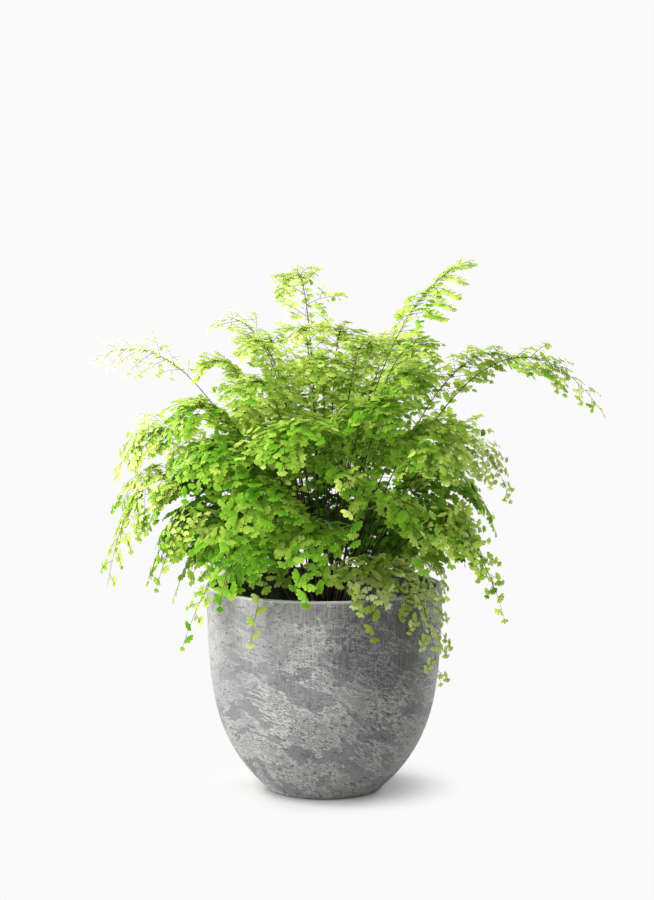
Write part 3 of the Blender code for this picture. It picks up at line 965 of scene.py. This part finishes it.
def build_soil():
    bottom = FLOOR_THICKNESS + MESH_THICKNESS + 2 * GAP
    side = evenly(bottom, SOIL_TOP - SOIL_SETTLED, 12)
    profile = [(0.0, bottom)]
    profile += [(outer_radius(height) - WALL - 2 * GAP, height) for height in side]
    wall = profile[-1][0]
    rings = 52
    for ring in range(1, rings):
        radius = wall * (1 - ring / rings)
        sunk = max(0.0, radius - CROWN_RADIUS) / (wall - CROWN_RADIUS)
        profile.append((radius, SOIL_TOP - SOIL_SETTLED * sunk))
    profile.append((0.0, SOIL_TOP))
    crumbly = lumpy(SOIL_TOP - SOIL_EDGE, (0.0016, 110.0), (0.0010, 290.0))
    mesh = turned("soil_body", profile, 160, crumbly)
    add_piece("soil_body", mesh, soil_material(), "potting_soil", "potting_soil")


def hull_faces(spots):
    """The triangles, facing out, of the convex solid with corners at spots."""
    faces = []
    for a, b, c in combinations(range(len(spots)), 3):
        normal = (spots[b] - spots[a]).cross(spots[c] - spots[a])
        heights = [normal.dot(spot - spots[a]) for spot in spots]
        if max(heights) < 1e-6:
            faces.append((a, b, c))
        elif min(heights) > -1e-6:
            faces.append((a, c, b))
    return faces


# A crumb is an icosahedron with its corners moved
GOLD = (1 + math.sqrt(5)) / 2
CRUMB_SIDES = [(s, g * GOLD) for s in (-0.6, 0.6) for g in (-0.6, 0.6)]
CRUMB_CORNERS = [Vector((s, g, 0)) for s, g in CRUMB_SIDES]
CRUMB_CORNERS += [Vector((0, s, g)) for s, g in CRUMB_SIDES]
CRUMB_CORNERS += [Vector((g, 0, s)) for s, g in CRUMB_SIDES]
CRUMB_FACES = hull_faces(CRUMB_CORNERS)
CRUMB_RING = (0.054, 0.124)  # how near the axis and how far out crumbs lie
CRUMB_SUNK = 0.0012


def build_crumbs():
    """Loose bark crumbs and white perlite on the soil."""
    chance = random.Random(SEED + 1)
    for name, count, low, high, material in (
        ("bark_crumbs", 420, 0.0010, 0.0026, bark_material()),
        ("perlite_grains", 90, 0.0009, 0.0018, perlite_material()),
    ):
        points, triangles = [], []
        for crumb in range(count):
            radius = math.sqrt(chance.uniform(CRUMB_RING[0] ** 2, CRUMB_RING[1] ** 2))
            angle = chance.uniform(0, 2 * math.pi)
            place = Vector(polar(radius, angle, SOIL_TOP - CRUMB_SUNK))
            size = chance.uniform(low, high)
            start = len(points)
            turn = Matrix.Rotation(chance.uniform(0, math.pi), 3, "Z")
            for corner in CRUMB_CORNERS:
                local = corner * size * chance.uniform(0.75, 1.2)
                local = Vector((local.x * 1.5, local.y, local.z * 0.8))
                points.append(place + turn @ local)
            triangles += [tuple(start + k for k in face) for face in CRUMB_FACES]
        add_piece(name, mesh_of(name, points, triangles), material, "potting_soil")


def build_crown():
    """The knotted rootstock, with the stubs of old stipes."""
    profile = [(0.0, SOIL_TOP + GAP), (CROWN_RADIUS, SOIL_TOP + GAP)]
    rings = 22
    for ring in range(1, rings):
        radius = CROWN_RADIUS * (1 - ring / rings)
        profile.append((radius, crown_top(radius)))
    profile.append((0.0, crown_top(0.0)))
    knotted = lumpy(SOIL_TOP + 0.001, (0.0018, 150.0), (0.0008, 400.0))
    mesh = turned("crown_body", profile, 96, knotted)
    add_piece("crown_body", mesh, rootstock_material(), "rootstock", "rootstock_crown")
    chance = random.Random(SEED + 2)
    stubs = []
    for stub in range(150):
        radius = CROWN_RADIUS * 0.94 * math.sqrt(chance.random())
        angle = chance.uniform(0, 2 * math.pi)
        out = Vector(polar(1, angle))
        foot = out * radius + Vector((0.0, 0.0, crown_top(radius) - 0.001))
        astray = Vector([chance.uniform(-0.3, 0.3) for axis in range(3)])
        way = (out * (radius / CROWN_RADIUS * 0.7) + astray + UP).normalized()
        length = chance.uniform(0.004, 0.016)
        thick = chance.uniform(0.0007, 0.0013)
        path = [foot, foot + way * length * 0.5, foot + way * length + out * length * 0.1]
        stubs.append((path, [thick * 1.15, thick, thick * 0.85], 5))
    mesh = tubes_mesh("stipe_stubs", stubs)
    add_piece("stipe_stubs", mesh, stem_material(), "stipe", "rootstock_crown")


# ------------ the plant


def build_fronds():
    leaf, stem = leaf_material(), stem_material()
    for number, (frond, stage, leads) in enumerate(lay_out_fronds(), 1):
        growth = Growth(frond, stage, leads, number)
        growth.grow()
        node = f"frond_{number:02d}"
        stems = tubes_mesh(node + "_stems", growth.stems)
        leaves = leaflets_mesh(node + "_leaflets", growth.leaves)
        add_piece(node + "_stems", stems, stem, "stipe", node)
        add_piece(node + "_leaflets", leaves, leaf, "leaflet", node)


# ------------ stage


BACKGROUND = (0.9616, 0.9616, 0.9616)
FLOOR_BOUNCE = 0.90  # how much of its brightness the floor gives to the plant
FLOOR_RADIUS = 40.0
FLOOR_SUNK = 0.0004
SHADOW_CENTRE = (-0.010, -0.014, 0.0)
SHADOW_SPAN = (0.066, 0.165)  # how far out its shadow starts to fade, and ends


def aim(item, target):
    item.rotation_euler = (Vector(target) - item.location).to_track_quat("-Z", "Y").to_euler()


def add_camera():
    camera = add_object("camera", bpy.data.cameras.new("camera"))
    camera.location = (0.0, -2.7, 0.668)
    aim(camera, (0.0032, 0.0, 0.4194))
    camera.data.lens = 88.6
    bpy.context.scene.camera = camera


def add_light(name, place, target, size, watts, colour=(1.0, 1.0, 1.0)):
    light = add_object(name, bpy.data.lights.new(name, "AREA"))
    light.data.shape = "DISK"
    light.data.size = size
    light.data.energy = watts
    light.data.color = colour
    light.location = place
    aim(light, target)


def add_floor():
    """A pale floor that takes the planter's shadow, and away from it is as bright as the world."""
    made = Nodes("floor")
    place = made.place()
    distance = made.vector("LENGTH", made.vector("ADD", place, SHADOW_CENTRE))
    far = made.span(distance, *SHADOW_SPAN, 0.16, 1.0)
    grain = made.noise(place, 6.0, 2.0)
    tint = made.ramp(grain, (0.3, (0.330, 0.330, 0.330)), (0.7, (0.336, 0.336, 0.336)))
    paper = made.first("BsdfDiffuse", {"Color": tint})
    seen = made.add("LightPath").outputs["Is Camera Ray"]
    bright = made.math("ADD", made.times(seen, 1 - FLOOR_BOUNCE), FLOOR_BOUNCE)
    white = made.first("Emission", {"Color": (*BACKGROUND, 1.0), "Strength": bright})
    both = made.first("MixShader", {0: far, 1: paper, 2: white})
    sides = 64
    angles = evenly(0, 2 * math.pi, sides)[:-1]
    points = [polar(FLOOR_RADIUS, angle) for angle in angles]
    triangles = [(0, 1 + side, 1 + (side + 1) % sides) for side in range(sides)]
    mesh = mesh_of("floor", [(0.0, 0.0, 0.0), *points], triangles)
    mesh.materials.append(made.finish(both))
    floor = add_object("floor", mesh)
    floor.location.z = -FLOOR_SUNK


def add_world():
    """Soft light, brightest from above and the left, behind a plain background."""
    made = Nodes("studio", world=True)
    seen = made.first("Background", {"Color": (*BACKGROUND, 1.0)})
    way = made.add("TexCoord").outputs["Generated"]
    lean = made.vector("DOT_PRODUCT", way, (-0.62, 0.25, 0.74))
    values = {"Color": (0.97, 0.985, 1.0, 1.0), "Strength": made.span(lean, -0.2, 1.0, 0.06, 1.25)}
    light = made.first("Background", values)
    ray = made.add("LightPath").outputs["Is Camera Ray"]
    both = made.first("MixShader", {0: ray, 1: light, 2: seen})
    bpy.context.scene.world = made.finish(both)


def build_stage():
    add_camera()
    add_floor()
    add_world()
    add_light("key", (-1.4, -0.7, 2.3), (0.0, 0.0, 0.35), 0.8, 88.0, (1.0, 0.99, 0.96))
    add_light("back", (-1.5, 1.5, 1.9), (0.0, 0.0, 0.45), 1.0, 78.0, (1.0, 1.0, 0.97))
    add_light("side", (-2.0, -1.1, 0.75), (0.0, 0.0, 0.20), 1.3, 78.0)
    add_light("edge", (1.5, 1.7, 1.2), (0.0, 0.0, 0.40), 0.9, 74.0)
    add_light("fill", (0.95, -1.95, 1.85), (0.12, 0.0, 0.28), 1.4, 26.0)
    bpy.context.scene.view_settings.view_transform = "Standard"
    bpy.context.scene.view_settings.gamma = 0.85


# ------------ everything together

build_stage()
build_planter()
build_fronds()
build_soil()
build_crumbs()
build_crown()
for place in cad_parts["drain_mesh"].material_slots:
    place.material = mesh_plastic_material()
